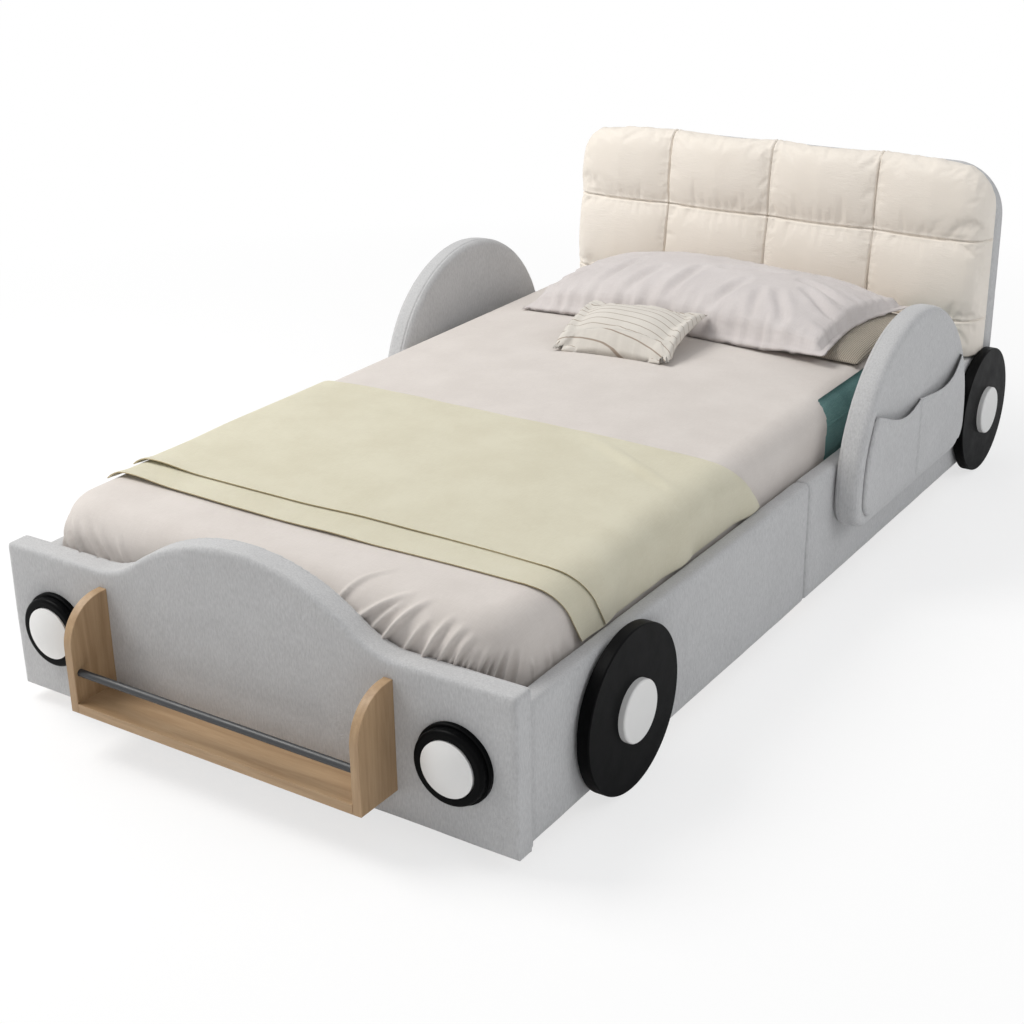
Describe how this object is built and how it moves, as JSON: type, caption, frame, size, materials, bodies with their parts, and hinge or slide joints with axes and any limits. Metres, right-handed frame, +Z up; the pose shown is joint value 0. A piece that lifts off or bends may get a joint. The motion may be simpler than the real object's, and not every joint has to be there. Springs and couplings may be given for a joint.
{
  "type": "upholstered storage bed",
  "caption": "Child's upholstered bed shaped like a small car, with quilted head board, padded side guards with pockets, disc wheels, round lamps and a foot-end bookshelf.",
  "frame": {"origin": "on the floor under the middle of the bed's overall length and width", "axes": "+Y from the foot board to the head board, +X to the right seen from the foot, +Z up"},
  "size_m": [1.218, 2.2768, 0.7461],
  "materials": {
    "velvet": "short grey velvet",
    "board": "raw board",
    "pad_leather": "soft cream",
    "wheel_black": "satin black",
    "disc_white": "satin white",
    "shelf_oak": "satin lacquer",
    "frame_wood": "raw sanded",
    "rod_metal": "dark satin",
    "steel": "satin",
    "mattress_cloth": "knitted side cloth",
    "sheet_cotton": "woven cotton",
    "blanket_weave": "loose linen weave",
    "pillow_cotton": "woven cotton",
    "ribbed_cotton": "ribbed cotton",
    "striped_cotton": "woven cotton with stripes"
  },
  "bodies": {
    "bed": {"centre_beam": "frame_wood", "centre_legs": "frame_wood", "corner_leg_front_left": "frame_wood", "corner_leg_front_right": "frame_wood", "corner_leg_rear_left": "frame_wood", "corner_leg_rear_right": "frame_wood", "footboard_core": "board", "footboard_cover": "velvet", "frame_bolts": "steel", "guard_bolts": "steel", "guard_left_core": "board", "guard_left_cover": "velvet", "guard_left_pockets": "velvet", "guard_right_core": "board", "guard_right_cover": "velvet", "guard_right_pockets": "velvet", "headboard_core": "board", "headboard_cover": "velvet", "headboard_pad": "pad_leather", "hub_cap_front_left": "disc_white", "hub_cap_front_right": "disc_white", "hub_cap_rear_left": "disc_white", "hub_cap_rear_right": "disc_white", "lamp_disc_left": "disc_white", "lamp_disc_right": "disc_white", "lamp_ring_left": "wheel_black", "lamp_ring_right": "wheel_black", "ledger_left": "frame_wood", "ledger_right": "frame_wood", "middle_leg_left": "frame_wood", "middle_leg_right": "frame_wood", "pad_board": "board", "rail_front_left_core": "board", "rail_front_left_cover": "velvet", "rail_front_right_core": "board", "rail_front_right_cover": "velvet", "rail_rear_left_core": "board", "rail_rear_left_cover": "velvet", "rail_rear_right_core": "board", "rail_rear_right_cover": "velvet", "shelf_board": "shelf_oak", "shelf_bolts": "steel", "shelf_rod": "rod_metal", "shelf_side_left": "shelf_oak", "shelf_side_right": "shelf_oak", "slats": "frame_wood", "wheel_front_left": "wheel_black", "wheel_front_right": "wheel_black", "wheel_rear_left": "wheel_black", "wheel_rear_right": "wheel_black", "wheel_screws": "steel", "wheel_spacers": "wheel_black"},
    "mattress_set": {"mattress": "mattress_cloth", "fitted_sheet": "sheet_cotton"},
    "throw_set": {"throw_blanket": "blanket_weave"},
    "ribbed_set": {"pillow_ribbed": "ribbed_cotton"},
    "pillow_set": {"pillow_main": "pillow_cotton"},
    "cushion_set": {"striped_cushion": "striped_cotton"}
  },
  "joints": [
    {"name": "mattress_lift", "type": "slide", "parent": "bed", "child": "mattress_set", "axis": [0, 0, 1], "range_m": [0, 0.56]},
    {"name": "throw_lift", "type": "slide", "parent": "mattress_set", "child": "throw_set", "axis": [0, 0, 1], "range_m": [0, 0.46]},
    {"name": "ribbed_lift", "type": "slide", "parent": "mattress_set", "child": "ribbed_set", "axis": [0, 0, 1], "range_m": [0, 0.36]},
    {"name": "pillow_lift", "type": "slide", "parent": "ribbed_set", "child": "pillow_set", "axis": [0, 0, 1], "range_m": [0, 0.36]},
    {"name": "cushion_lift", "type": "slide", "parent": "pillow_set", "child": "cushion_set", "axis": [0, 0, 1], "range_m": [0, 0.36]}
  ]
}
